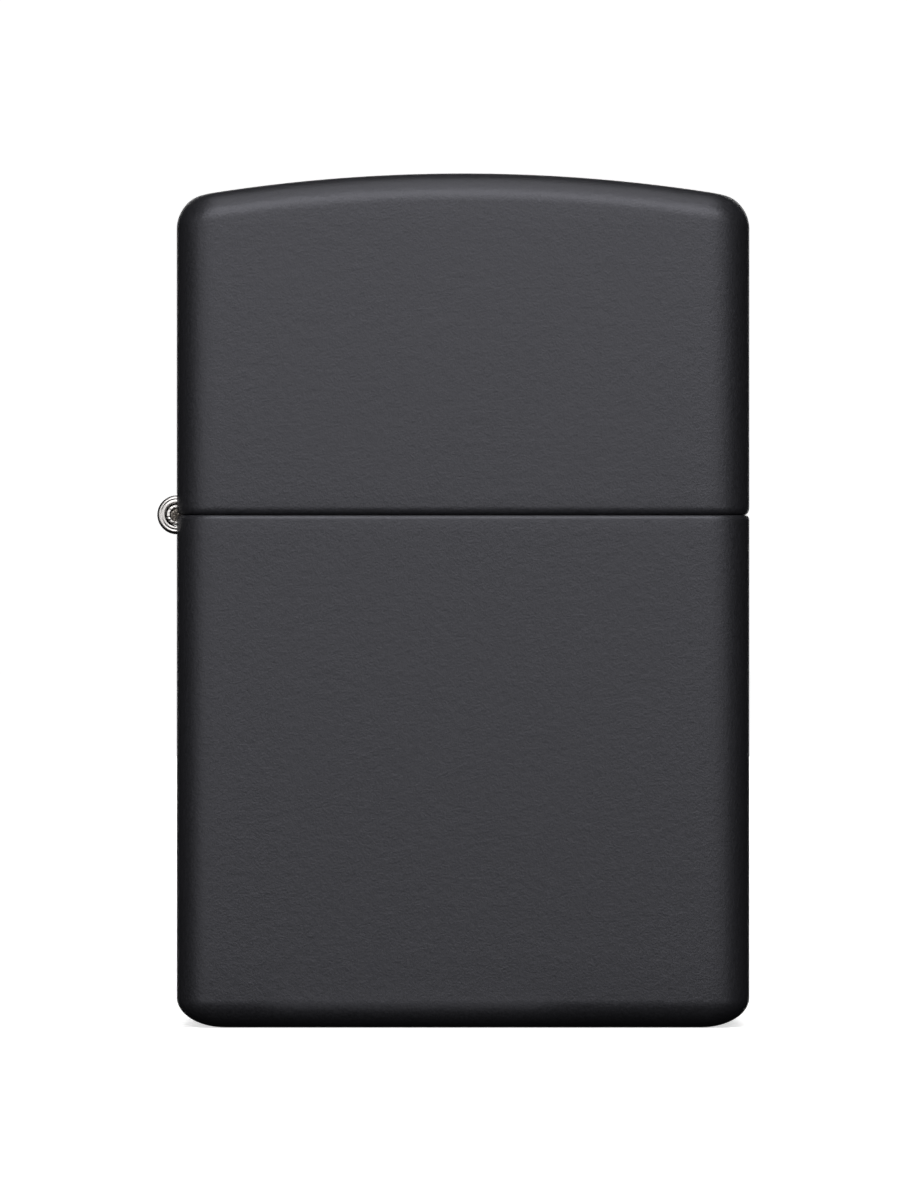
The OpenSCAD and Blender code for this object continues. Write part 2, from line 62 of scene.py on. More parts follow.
HALF_W, HALF_D, HEIGHT = 19.05, 6.45, 56.7      # case, outside
WALL, EDGE_R, SPLIT = 0.7, 2.9, 34.05            # SPLIT is the height of the lid joint
IN_W, IN_D, IN_R = HALF_W - WALL, HALF_D - WALL, EDGE_R - WALL
CROWN_R, TOP_FILLET, SIDE_LESS = 108.0, 1.95, 0.25
FOOT_X, FOOT_Y, FOOT_Z = 3.1, 2.1, 1.95          # bottom rounding: in from the sides, faces, floor
RIM_GAP = 0.05
NOTCH_H, NOTCH_Y = 1.4, 3.95                     # the hinge's window in each rim
HINGE_X, KNUCKLE_R, BORE_R, PIN_R, HINGE_LEN = -19.05, 1.3, 0.76, 0.70, 7.6
KNUCKLES, KNUCKLE_GAP = 5, 0.08
LEAF_HALF, LEAF_T, LEAF_SUNK = 3.5, 0.5, 0.49    # LEAF_SUNK: where tabs and dimples start inside it
WHEEL, WHEEL_R, WHEEL_W = (8.4, 41.6), 3.7, 5.2  # (x, z) of its rivet
FLINT_X = WHEEL[0] + 0.2                         # line of the flint, its spring and its screw
WICK_X, WICK_R, WICK_TOP = -1.6, 1.8, 44.2

# ---------------------------------------------------------------- materials

# A Mix node's sockets, by number, because its names repeat
FACTOR, NUMBER_A, NUMBER_B, COLOR_A, COLOR_B = 0, 2, 3, 6, 7
NUMBER_OUT, COLOR_OUT = 0, 2


class Paint:
    """A Principled material whose nodes are added one call at a time. Patterns are in millimetres."""

    def __init__(self, name, color, roughness, metallic=0.0, **sockets):
        self.m = bpy.data.materials.new(name)
        self.m.use_nodes = True
        self.t = self.m.node_tree
        self.bsdf = self.t.nodes["Principled BSDF"]
        self.bsdf.inputs["Base Color"].default_value = (*color, 1.0)
        self.bsdf.inputs["Roughness"].default_value = roughness
        self.bsdf.inputs["Metallic"].default_value = metallic
        for key, value in sockets.items():
            self.bsdf.inputs[key.replace("_", " ")].default_value = value
        self.coords = self.add("ShaderNodeTexCoord").outputs["Object"]
        self.normal = None

    def add(self, kind, **props):
        n = self.t.nodes.new(kind)
        for key, value in props.items():
            setattr(n, key, value)
        return n

    def set(self, node, socket, value):
        if isinstance(value, bpy.types.NodeSocket):
            self.t.links.new(value, node.inputs[socket])
        else:
            node.inputs[socket].default_value = value

    def space(self, stretch=(1, 1, 1)):
        """The object's coordinates in millimetres, stretched along each axis."""
        n = self.add("ShaderNodeMapping")
        self.set(n, "Vector", self.coords)
        self.set(n, "Scale", tuple(1000 * s for s in stretch))
        return n.outputs["Vector"]

    def noise(self, scale, detail=2.0, rough=0.5, stretch=(1, 1, 1), distort=0.0):
        n = self.add("ShaderNodeTexNoise")
        for key, value in (("Vector", self.space(stretch)), ("Scale", scale), ("Detail", detail),
                           ("Roughness", rough), ("Distortion", distort)):
            self.set(n, key, value)
        return n.outputs["Fac"]

    def cells(self, scale):
        n = self.add("ShaderNodeTexVoronoi")
        self.set(n, "Vector", self.space())
        self.set(n, "Scale", scale)
        return n.outputs["Distance"]

    def ramp(self, fac, low, high, to_low=0.0, to_high=1.0):
        """fac, taken from low..high to to_low..to_high."""
        n = self.add("ShaderNodeMapRange", clamp=True)
        for key, value in (("Value", fac), ("From Min", low), ("From Max", high),
                           ("To Min", to_low), ("To Max", to_high)):
            self.set(n, key, value)
        return n.outputs["Result"]

    def math(self, op, a, b=0.0):
        n = self.add("ShaderNodeMath", operation=op)
        self.set(n, 0, a)
        self.set(n, 1, b)
        return n.outputs[0]

    def mix(self, fac, a, b):
        """Colours a and b, mixed; each is three numbers or a socket."""
        n = self.add("ShaderNodeMix", data_type="RGBA")
        for socket, value in ((FACTOR, fac), (COLOR_A, a), (COLOR_B, b)):
            self.set(n, socket, (*value, 1.0) if isinstance(value, tuple) else value)
        return n.outputs[COLOR_OUT]

    def blend(self, fac, a, b):
        """Numbers a and b, mixed."""
        n = self.add("ShaderNodeMix", data_type="FLOAT")
        for socket, value in ((FACTOR, fac), (NUMBER_A, a), (NUMBER_B, b)):
            self.set(n, socket, value)
        return n.outputs[NUMBER_OUT]

    def split(self, vector, which):
        n = self.add("ShaderNodeSeparateXYZ")
        self.set(n, 0, vector)
        return n.outputs["XYZ".index(which)]

    def axis(self, which):
        """The object's own coordinate along one axis."""
        return self.split(self.space(), which)

    def facing(self, which):
        """How far the surface faces along one of the object's axes."""
        return self.split(self.add("ShaderNodeTexCoord").outputs["Normal"], which)

    def bump(self, height, depth_mm, strength=1.0):
        n = self.add("ShaderNodeBump")
        self.set(n, "Height", height)
        self.set(n, "Distance", depth_mm * MM)
        self.set(n, "Strength", strength)
        if self.normal is not None:
            self.set(n, "Normal", self.normal)
        self.normal = n.outputs["Normal"]
        self.set(self.bsdf, "Normal", self.normal)
        return self

    def use(self, socket, value):
        self.set(self.bsdf, socket, value)
        return self


def powder_coat():
    """Matte black powder coat, with a fine orange-peel grain in its colour, gloss and height."""
    p = Paint("matte_black_coat", (0.010, 0.010, 0.012), 0.45, Specular_Tint=(0.90, 0.90, 1.0, 1.0))
    grain = p.noise(7.0, 2.0, 0.6)
    p.use("Base Color", p.mix(p.ramp(grain, 0.35, 0.68), (0.007, 0.007, 0.008), (0.013, 0.013, 0.015)))
    p.use("Roughness", p.ramp(grain, 0.3, 0.7, 0.42, 0.48))
    p.bump(p.noise(2.4, 1.0), 0.016, 1.0)
    p.bump(grain, 0.017, 1.0)
    return p.m


def case_inside(name, rim_z, way):
    """Bare drawn brass, with black overspray that thins out from the rim; way is 1 for up, -1 for down."""
    p = Paint(name, (0.66, 0.53, 0.31), 0.32, 1.0)
    streak = p.noise(1.0, 4.0, 0.65, (5.0, 5.0, 0.25))
    stain = p.noise(0.4, 3.0, 0.6)
    bare = p.mix(p.ramp(stain, 0.35, 0.7), (0.72, 0.58, 0.35), (0.60, 0.47, 0.27))
    away = p.math("MULTIPLY", p.math("SUBTRACT", p.axis("Z"), rim_z), way)
    ragged = p.math("MULTIPLY", p.math("SUBTRACT", p.noise(5.0, 3.0, 0.7), 0.5), 3.4)
    cover = p.ramp(p.math("ADD", away, ragged), 0.5, 3.2, 1.0, 0.0)
    p.use("Base Color", p.mix(cover, bare, (0.014, 0.014, 0.015)))
    p.use("Metallic", p.ramp(cover, 0.2, 0.8, 1.0, 0.0))
    p.use("Roughness", p.math("ADD", p.ramp(streak, 0.25, 0.75, 0.22, 0.42),
                              p.ramp(cover, 0.0, 1.0, 0.0, 0.2)))
    p.bump(streak, 0.004, 0.5)
    return p.m


def brushed(name, color, low, high, stretch, darker=0.8, depth=0.002, level=None):
    """Metal with brush lines. stretch is small along the lines; level replaces it on level faces."""
    p = Paint(name, color, (low + high) / 2, 1.0)
    lines, cloud = p.noise(2.2, 5.0, 0.7, stretch), p.noise(0.25, 3.0, 0.6)
    if level:
        is_level = p.ramp(p.math("ABSOLUTE", p.facing("Z")), 0.6, 0.85)
        lines = p.blend(is_level, lines, p.noise(2.2, 5.0, 0.7, level))
    tone = p.ramp(p.math("ADD", p.math("MULTIPLY", lines, 0.6), p.math("MULTIPLY", cloud, 0.4)), 0.35, 0.65)
    p.use("Base Color", p.mix(tone, tuple(c * darker for c in color), color))
    p.use("Roughness", p.ramp(lines, 0.3, 0.7, low, high))
    p.bump(lines, depth, 0.7)
    return p.m


def bright_plate(name, color, low=0.13, high=0.30):
    """Plated metal, bright, with fine scuffs."""
    p = Paint(name, color, (low + high) / 2, 1.0)
    scuff = p.noise(3.0, 4.0, 0.7, (1, 0.35, 1))
    p.use("Roughness", p.ramp(scuff, 0.35, 0.7, low, high))
    darker = tuple(c * 0.88 for c in color)
    p.use("Base Color", p.mix(p.ramp(p.noise(1.6, 2.0), 0.35, 0.65), darker, color))
    p.bump(scuff, 0.002, 0.6)
    return p.m


def peened():
    """The hammered end of the hinge pin."""
    p = Paint("peened_steel", (0.30, 0.27, 0.24), 0.5, 1.0)
    grime = p.ramp(p.noise(9.0, 3.0), 0.4, 0.62)
    p.use("Base Color", p.mix(grime, (0.05, 0.044, 0.038), (0.17, 0.155, 0.14)))
    p.use("Roughness", p.ramp(p.noise(6.0), 0.3, 0.7, 0.4, 0.6))
    p.bump(p.cells(7.0), 0.04, 0.8)
    return p.m


def dark_steel():
    """Case-hardened and oiled wheel steel, rubbed bright on the teeth."""
    p = Paint("wheel_steel", (0.16, 0.16, 0.17), 0.4, 0.9)
    cloud = p.noise(1.6, 4.0, 0.65)
    point = p.add("ShaderNodeNewGeometry").outputs["Pointiness"]
    uneven = p.math("MULTIPLY", p.math("SUBTRACT", cloud, 0.5), 0.06)
    worn = p.ramp(p.math("ADD", point, uneven), 0.5, 0.58)
    oiled = p.mix(p.ramp(cloud, 0.35, 0.65), (0.075, 0.075, 0.08), (0.15, 0.15, 0.16))
    p.use("Base Color", p.mix(worn, oiled, (0.46, 0.46, 0.47)))
    p.use("Roughness", p.ramp(cloud, 0.3, 0.7, 0.3, 0.5))
    p.bump(p.noise(9.0, 3.0), 0.006, 0.6)
    return p.m


def sinter():
    """The flint's pressed grey alloy, rough and grainy."""
    p = Paint("flint_alloy", (0.10, 0.095, 0.09), 0.65, 0.6)
    grain = p.noise(5.0, 4.0, 0.7)
    p.use("Base Color", p.mix(p.ramp(grain, 0.35, 0.65), (0.06, 0.056, 0.052), (0.17, 0.16, 0.15)))
    p.bump(grain, 0.02, 0.8)
    return p.m


def cotton(name, light, dark, scale):
    """Soft fibre: many thin threads crossing, with a little sheen."""
    p = Paint(name, light, 0.9, Sheen_Weight=0.35, Sheen_Roughness=0.5, Specular_IOR_Level=0.2)
    threads = p.math("MAXIMUM", p.noise(scale, 5.0, 0.75, (3.0, 0.6, 0.6), 1.2),
                     p.noise(scale, 5.0, 0.75, (0.6, 0.6, 3.0), 1.6))
    p.use("Base Color", p.mix(p.ramp(threads, 0.42, 0.68), dark, light))
    p.bump(threads, 0.12, 0.7)
    p.bump(p.noise(scale * 5, 4.0, 0.7), 0.02, 0.6)
    return p.m


COAT = powder_coat()
LID_IN = case_inside("lid_inside", SPLIT, 1.0)
CASE_IN = case_inside("case_inside", SPLIT, -1.0)
PLATED = bright_plate("hinge_plating", (0.44, 0.425, 0.415), 0.24, 0.36)
PEENED = peened()
STEEL_UP = brushed("unit_steel_upright", (0.63, 0.62, 0.60), 0.24, 0.36, (6, 6, 0.12),
                   darker=0.88, depth=0.0014, level=(0.12, 6, 6))
STEEL_FLAT = brushed("unit_steel_flat", (0.60, 0.59, 0.57), 0.24, 0.40, (0.15, 5, 5))
STEEL_BRIGHT = bright_plate("unit_steel_bright", (0.66, 0.65, 0.63))
SPRING = bright_plate("spring_steel", (0.48, 0.48, 0.50))
WHEEL_STEEL = dark_steel()
FLINT = sinter()
BRASS = brushed("turned_brass", (0.72, 0.52, 0.24), 0.2, 0.36, (0.5, 0.5, 7))
WICK = cotton("wick_cotton", (0.80, 0.76, 0.66), (0.55, 0.50, 0.40), 2.0)
WADDING = cotton("wadding_fibre", (0.84, 0.83, 0.79), (0.62, 0.61, 0.57), 0.9)
FELT = cotton("pad_felt", (0.72, 0.70, 0.66), (0.50, 0.49, 0.45), 1.6)

# ---------------------------------------------------------------- mesh helpers


def lerp(a, b, n):
    """n even steps from a to b."""
    return [a + (b - a) * k / n for k in range(n + 1)]


def arc(cx, cy, r, a0, a1, n):
    """Points of an arc, in n steps between two angles in degrees."""
    turns = [math.radians(a) for a in lerp(a0, a1, n)]
    return [(cx + r * math.cos(a), cy + r * math.sin(a)) for a in turns]


def inward(a):
    """How far a quarter round has come in at a degrees along it, as a share of its radius."""
    return 1 - math.cos(math.radians(a))


def short(a):
    """How far it is still below its full height there, as a share of its radius."""
    return 1 - math.sin(math.radians(a))


def piece(name, verts, faces, body, materials, stands_for, kinds=None, sharp=35, weld=True):
    """An object from points in millimetres; kinds is the material number of each face."""
    mesh = bpy.data.meshes.new(name)
    mesh.from_pydata([Vector(v) * MM for v in verts], [], faces)
    for m in materials:
        mesh.materials.append(m)
    for i, p in enumerate(mesh.polygons):
        p.use_smooth = True
        p.material_index = kinds[i] if kinds else 0
    bm = bmesh.new()
    bm.from_mesh(mesh)
    if weld:
        bmesh.ops.remove_doubles(bm, verts=bm.verts, dist=1e-7)
    bmesh.ops.delete(bm, geom=[v for v in bm.verts if not v.link_faces], context="VERTS")
    bmesh.ops.recalc_face_normals(bm, faces=bm.faces)
    bm.to_mesh(mesh)
    bm.free()
    mesh.set_sharp_from_angle(angle=math.radians(sharp))
    obj = bpy.data.objects.new(name, mesh)
    scene.collection.objects.link(obj)
    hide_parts(*stands_for)
    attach(obj, body)
    return obj


def finish_cad(node, material, width=0.0, segments=2, angle=40):
    """A CAD node that keeps its shape gets its material, and edges rounded by width in millimetres."""
    obj = nodes[node]
    for s in obj.material_slots:
        s.material = material
    if width:
        weld = obj.modifiers.new("weld", "WELD")
        weld.merge_threshold = 1e-6
        flats = obj.modifiers.new("flats", "DECIMATE")
        flats.decimate_type, flats.angle_limit = "DISSOLVE", math.radians(0.4)
        edges = obj.modifiers.new("edges", "BEVEL")
        edges.width, edges.segments = width * MM, segments
        edges.limit_method, edges.angle_limit = "ANGLE", math.radians(angle)
        edges.harden_normals = False
        normals = obj.modifiers.new("normals", "WEIGHTED_NORMAL")
        normals.keep_sharp = False


class Skin:
    """Rings of points joined into a skin. Each ring has as many points as the first."""

    def __init__(self):
        self.verts, self.faces, self.kinds, self.rings = [], [], [], []

    def ring(self, points, kind=0):
        """Adds a ring; kind is the material of the band that follows it."""
        base = len(self.verts)
        self.verts += points
        self.rings.append((range(base, base + len(points)), kind))

    def face(self, ids, kind=0):
        self.faces.append(tuple(ids))
        self.kinds.append(kind)

    def band(self, a, b, kind=0, skip=lambda i: False):
        """The faces between two closed rings of points."""
        n = len(a)
        for i in range(n):
            if not skip(i):
                k = (i + 1) % n
                self.face((a[i], a[k], b[k], b[i]), kind)

    def join(self, start=0, skip=lambda j, i: False):
        """Joins each ring, from the one numbered start, to the next."""
        for j in range(start, len(self.rings) - 1):
            (a, kind), (b, _) = self.rings[j], self.rings[j + 1]
            self.band(a, b, kind, lambda i: skip(j, i))

    def close(self, start=0):
        """Joins the rings and covers both ends with one flat face each."""
        self.join(start)
        for which in (start, -1):
            self.face(*self.rings[which])

    def fan(self, which, bulge=(0, 0, 0)):
        """Covers a ring with triangles that meet at its centre, which stands out by bulge."""
        ids = self.rings[which][0]
        centre = sum((Vector(self.verts[i]) for i in ids), Vector()) / len(ids) + Vector(bulge)
        self.verts.append(tuple(centre))
        n = len(ids)
        for i in range(n):
            self.face((ids[i], ids[(i + 1) % n], len(self.verts) - 1))


def revolve(skin, profile, x, z, steps, wobble=None):
    """Turns a closed profile of (radius, y) about a line along Y through x, z."""
    base = len(skin.verts)
    for s in range(steps):
        a = 2 * math.pi * s / steps
        for k, (r, y) in enumerate(profile):
            if wobble:
                r, y = wobble(a, k, r, y)
            skin.verts.append((x + r * math.cos(a), y, z + r * math.sin(a)))
    n = len(profile)
    for s in range(steps):
        for k in range(n):
            a, b = base + s * n, base + (s + 1) % steps * n
            skin.face((a + k, a + (k + 1) % n, b + (k + 1) % n, b + k))


def slab(skin, plan, z0, z1, fillet, place):
    """A flat plate with rounded edges. plan(inset) gives its outline; place turns it into space."""
    start = len(skin.rings)
    rings = [(fillet * inward(a), fillet * short(a)) for a in lerp(90, 0, 3)]
    for inset, rise in rings:
        skin.ring([place(x, y, z0 + rise) for x, y in plan(inset)])
    for inset, rise in reversed(rings):
        skin.ring([place(x, y, z1 - rise) for x, y in plan(inset)])
    skin.close(start)


def rounded_box(x0, x1, y0, y1, r, n=6):
    """Plan of a rounded rectangle, as a function of its inset."""
    def plan(inset):
        q = max(r - inset, 0.02)
        ax, bx, ay, by = x0 + inset + q, x1 - inset - q, y0 + inset + q, y1 - inset - q
        return (arc(ax, ay, q, 180, 270, n) + arc(bx, ay, q, 270, 360, n)
                + arc(bx, by, q, 0, 90, n) + arc(ax, by, q, 90, 180, n))
    return plan


def tube(skin, path, radius, sides, shape=None):
    """A tube along points. radius may be a function of the point's number; shape(i, angle) scales it."""
    pts = [Vector(p) for p in path]
    up = None
    for i, p in enumerate(pts):
        t = (pts[min(i + 1, len(pts) - 1)] - pts[max(i - 1, 0)]).normalized()
        if up is None:
            up = t.orthogonal().normalized()
        up = (up - up.dot(t) * t).normalized()
        side = t.cross(up)
        r = radius(i) if callable(radius) else radius
        ring = []
        for s in range(sides):
            a = 2 * math.pi * s / sides
            q = r * (shape(i, a) if shape else 1.0)
            ring.append(tuple(p + q * (math.cos(a) * up + math.sin(a) * side)))
        skin.ring(ring)


# ---------------------------------------------------------------- case and lid

# Steps round the case: the part of a corner in the hinge's window, the rest of it, a side, a face;
# then steps up a rounding, and bands across the window
NOTCH_STEPS, TURN_STEPS, SIDE_STEPS, FACE_STEPS = 3, 13, 6, 56
ROUND_STEPS = 18
SECTOR = 2 * NOTCH_STEPS + SIDE_STEPS


def outline(hw, hd, r, first):
    """Plan of the case, round from one end of the hinge's window, which is first degrees up a corner."""
    cx, cy = hw - r, hd - r

    def corner(sx, sy, a0, a1, n):
        return arc(sx * cx, sy * cy, r, a0, a1, n)

    return (corner(-1, 1, 180 - first, 180, NOTCH_STEPS)
            + [(-hw, y) for y in lerp(cy, -cy, SIDE_STEPS)[1:-1]]
            + corner(-1, -1, 180, 180 + first, NOTCH_STEPS)
            + corner(-1, -1, 180 + first, 270, TURN_STEPS)[1:]
            + [(x, -hd) for x in lerp(-cx, cx, FACE_STEPS)[1:-1]]
            + corner(1, -1, 270, 360, NOTCH_STEPS + TURN_STEPS)
            + [(hw, y) for y in lerp(-cy, cy, SIDE_STEPS)[1:-1]]
            + corner(1, 1, 0, 90, NOTCH_STEPS + TURN_STEPS)
            + [(x, hd) for x in lerp(cx, -cx, FACE_STEPS)[1:-1]]
            + corner(-1, 1, 90, 180 - first, TURN_STEPS)[:-1])


def crown_drop(x):
    """How far the crowned top lies below its middle."""
    return CROWN_R - math.sqrt(CROWN_R ** 2 - x * x)


def case_ring(inside, in_x, in_y, z, crown=False):
    """One ring of the inner or outer wall, drawn in by in_x and in_y at height z."""
    hw, hd, r = (IN_W, IN_D, IN_R) if inside else (HALF_W, HALF_D, EDGE_R)
    first = math.degrees(math.asin((NOTCH_Y - HALF_D + EDGE_R) / r))
    r = max(r - (in_x + in_y) / 2, 0.3)
    plan = outline(hw - in_x, hd - in_y, r, first)
    return [(x, y, z - (crown_drop(x) if crown else 0)) for x, y in plan]


def cap(skin, which, kind):
    """Closes a ring with strips that run from its front to its back."""
    ids = skin.rings[which][0]
    n, mid = len(ids), SECTOR // 2
    for k in range(n // 2):
        a, b = mid + k, mid + k + 1
        quad = (ids[a % n], ids[b % n], ids[(2 * mid - b) % n], ids[(2 * mid - a) % n])
        skin.face(dict.fromkeys(quad), kind)


def case_shell(name, body, node, rings, notch, inside):
    """Joins the rings, inner ones first. The hinge's window is cut between the two numbered in notch."""
    s = Skin()
    for points, kind in rings:
        s.ring(points, kind)
    lo, hi = notch
    s.join(skip=lambda j, i: lo <= j < hi and i < SECTOR)
    cap(s, 0, rings[0][1])
    cap(s, -1, rings[-1][1])
    inner, outer = s.rings[lo][0], s.rings[hi][0]
    for i in range(SECTOR):
        s.face((inner[i], inner[i + 1], outer[i + 1], outer[i]), 0)
    for i in (0, SECTOR):
        s.face([s.rings[j][0][i] for j in range(lo, hi + 1)], 0)
    piece(name, s.verts, s.faces, body, [COAT, inside], (node,), s.kinds, sharp=50)


def lip(z, way, deep, tall, soft=0.12, slope=0.08):
    """The rim, rounded by soft inside and by deep and tall outside, and higher by slope at its inner edge."""
    top = z + slope
    rings = [case_ring(True, 0, 0, top + way * soft)]
    rings += [case_ring(True, -soft * inward(a), -soft * inward(a), top + way * soft * short(a))
              for a in (30, 60, 90)]
    rings += [case_ring(False, deep * inward(a), deep * inward(a), z + way * tall * short(a))
              for a in lerp(90, 0, 8)]
    return rings


def shell_rings(inner, edge, outer):
    """All rings with the material number of each, and the two that bound the hinge's window."""
    rings = [(r, 1) for r in inner] + [(r, 0) for r in edge + outer]
    return rings, (len(inner) - 1, len(inner) + len(edge))


def lid_rings():
    inner_x, inner_y = TOP_FILLET - SIDE_LESS - WALL, TOP_FILLET - WALL
    inner = [case_ring(True, inner_x * inward(a), inner_y * inward(a),
                       HEIGHT - WALL - inner_y * short(a), True) for a in lerp(90, 0, ROUND_STEPS)]
    inner += [case_ring(True, 0, 0, z) for z in (52, 48, 44, 40, SPLIT + NOTCH_H)]
    outer = [case_ring(False, 0, 0, z) for z in (SPLIT + NOTCH_H, 38, 42, 46, 50, 53)]
    outer += [case_ring(False, (TOP_FILLET - SIDE_LESS) * inward(a), TOP_FILLET * inward(a),
                        HEIGHT - TOP_FILLET * short(a), True) for a in lerp(0, 90, ROUND_STEPS)]
    return shell_rings(inner, lip(SPLIT, 1, 0.26, 0.55), outer)


def bottom_rings():
    inner = [case_ring(True, (FOOT_X - WALL) * inward(a), (FOOT_Y - WALL) * inward(a),
                       WALL + (FOOT_Z - WALL) * short(a)) for a in lerp(90, 0, ROUND_STEPS)]
    inner += [case_ring(True, 0, 0, z) for z in (8, 14, 20, 26, SPLIT - NOTCH_H)]
    outer = [case_ring(False, 0, 0, z) for z in (SPLIT - NOTCH_H, 28, 22, 16, 10, 5)]
    outer += [case_ring(False, FOOT_X * inward(a), FOOT_Y * inward(a), FOOT_Z * short(a))
              for a in lerp(0, 90, ROUND_STEPS)]
    # the shallow dish in the underside: how far in from the rounding, and how high
    for step, z in ((1.0, 0.0), (1.18, 0.012), (1.3, 0.06), (1.4, 0.14), (1.5, 0.215),
                    (1.66, 0.245), (1.9, 0.25)):
        hw, hd = HALF_W - FOOT_X - step, HALF_D - FOOT_Y - step
        outer.append([(x, y, z) for x, y in outline(hw, hd, 1.2, 20)])
    return shell_rings(inner, lip(SPLIT - RIM_GAP, -1, 0.20, 0.32), outer)


case_shell("case_lid_skin", "lid", "case_lid", *lid_rings(), LID_IN)
case_shell("case_bottom_skin", "base", "case_bottom", *bottom_rings(), CASE_IN)

# ---------------------------------------------------------------- hinge


def knuckle(skin, y0, y1):
    """One curled knuckle, with rounded ends and the faint line where its sheet closes."""
    r, b = KNUCKLE_R, BORE_R
    # (radius, depth) over the end face: the bore's edge, the closing line's dip, the outer rounding
    end = [(b, 0.10), (b + 0.012, 0.05), (b + 0.04, 0.015), (b + 0.08, 0.0),
           (0.93, 0.0), (0.965, 0.014), (0.995, 0.034), (1.025, 0.034), (1.06, 0.014), (1.09, 0.008),
           (1.14, 0.016), (1.18, 0.036), (1.225, 0.080), (1.26, 0.130), (r - 0.012, 0.19), (r, 0.27)]
    profile = [(q, y0 + d) for q, d in end] + [(q, y1 - d) for q, d in reversed(end)]
    revolve(skin, profile, HINGE_X, SPLIT, 72)


def leaf(name, node, body, first, side):
    """A leaf on the inside of the wall, up (side 1) or down (-1), with every other knuckle from first."""
    s = Skin()
    pitch = (HINGE_LEN + KNUCKLE_GAP) / KNUCKLES
    width = pitch - KNUCKLE_GAP
    x0 = HINGE_X + WALL

    def place(y, h, x):
        return x, y, SPLIT + side * h

    slab(s, rounded_box(-LEAF_HALF, LEAF_HALF, NOTCH_H, 8.5, 0.9), x0, x0 + LEAF_T, 0.09, place)
    for i in range(first, KNUCKLES, 2):
        y0 = -HINGE_LEN / 2 + i * pitch
        knuckle(s, y0, y0 + width)
        tab = rounded_box(max(y0, -LEAF_HALF), min(y0 + width, LEAF_HALF), 0.05, NOTCH_H + 0.6, 0.1)
        slab(s, tab, x0 + 0.07, x0 + LEAF_SUNK, 0.05, place)
    # the four weld dimples that hold the leaf to the wall
    for y, h in ((-2.2, 3.6), (2.2, 3.6), (-2.2, 6.4), (2.2, 6.4)):
        start = len(s.rings)
        for r, d in ((0.42, 0.0), (0.36, 0.035), (0.27, 0.05), (0.15, 0.03), (0.05, 0.018)):
            s.ring([(x0 + LEAF_SUNK + d, y + r * math.cos(a), SPLIT + side * h + r * math.sin(a))
                    for a in (2 * math.pi * k / 16 for k in range(16))])
        s.close(start)
    piece(name, s.verts, s.faces, body, [PLATED], (node,), sharp=40)


leaf("hinge_lower", "hinge_leaf_lower", "base", 0, -1)
leaf("hinge_upper", "hinge_leaf_upper", "lid", 1, 1)


def hinge_pin():
    """A pin whose ends are peened: an uneven faceted collar round a small hollow."""
    half, facets = HINGE_LEN / 2, 9
    # (radius, height) over the end, from its middle out to the shank
    end = [(0.02, 0.03), (0.16, 0.025), (0.30, 0.0), (0.40, -0.01), (0.455, 0.02), (0.50, 0.085),
           (0.57, 0.095), (0.625, 0.075), (0.66, 0.02), (0.685, -0.06), (PIN_R, -0.16)]
    profile = [(r, -half - h) for r, h in end] + [(r, half + h) for r, h in reversed(end)]

    def wobble(a, k, r, y):
        k = min(k, 2 * len(end) - 1 - k)
        if 2 < k < 7:
            side = (a / (2 * math.pi) * facets) % 1.0
            flat = math.cos(math.pi / facets) / math.cos((side - 0.5) * 2 * math.pi / facets)
            r *= 1 + (flat - 1) * 1.6 * (1 - abs(k - 4) * 0.2)
        if k < 8:
            dent = noise.noise(Vector((math.cos(a) * r * 5, math.sin(a) * r * 5, 1.7)))
            y += math.copysign(0.05 * dent, y)
        return r, y

    s = Skin()
    revolve(s, profile, HINGE_X, SPLIT, 90, wobble)
    n = len(profile)
    kinds = [1 if min(i % n, n - 2 - i % n) < 4 or i % n == n - 1 else 0 for i in range(len(s.faces))]
    piece("hinge_pin_peened", s.verts, s.faces, "base", [PLATED, PEENED],
          ("hinge_pin",), kinds, sharp=30)


hinge_pin()

# ---------------------------------------------------------------- spark wheel


def flint_wheel():
    """A wheel with two crossing cuts that leave rows of small pointed teeth."""
    teeth, steps_per_tooth, across = 36, 8, 46
    half, depth, bore = WHEEL_W / 2, 0.30, 1.06
    cx, cz = WHEEL
    s = Skin()

    def saw(t):
        """One tooth along the cut: a long rise and a short fall."""
        t %= 1.0
        return t / 0.72 if t < 0.72 else (1 - t) / 0.28

    def surface(a, y):
        """Radius at an angle and a place across the wheel; the teeth fade out at its two edges."""
        turn = a / (2 * math.pi) * teeth
        tooth = min(saw(turn + y * 1.15), saw(turn - y * 1.15) * 1.25, 1.0)
        ease = max(0.0, (abs(y) - (half - 0.5)) / 0.5)
        return WHEEL_R - depth * (1 - tooth) * (1 - ease) - ease * ease * 0.34

    # (radius, depth) over a side face, with its turned groove
    side = [(3.2, 0.0), (3.05, 0.0), (2.95, 0.12), (2.8, 0.16), (2.1, 0.16), (1.95, 0.12),
            (1.85, 0.0), (1.3, 0.0), (1.12, 0.03), (bore, 0.12)]
    steps = teeth * steps_per_tooth
    for k in range(steps):
        a = 2 * math.pi * k / steps
        profile = [(surface(a, y), y) for y in lerp(-half + 0.02, half - 0.02, across)]
        profile += [(r, half - d) for r, d in side] + [(r, -half + d) for r, d in reversed(side)]
        s.verts += [(cx + r * math.cos(a), y, cz + r * math.sin(a)) for r, y in profile]
    n = len(profile)
    for k in range(steps):
        for j in range(n):
            a, b = k * n, (k + 1) % steps * n
            s.face((a + j, a + (j + 1) % n, b + (j + 1) % n, b + j))
    piece("flint_wheel_cut", s.verts, s.faces, "wheel", [WHEEL_STEEL],
          ("flint_wheel",), sharp=45)


flint_wheel()

# ---------------------------------------------------------------- flint spring


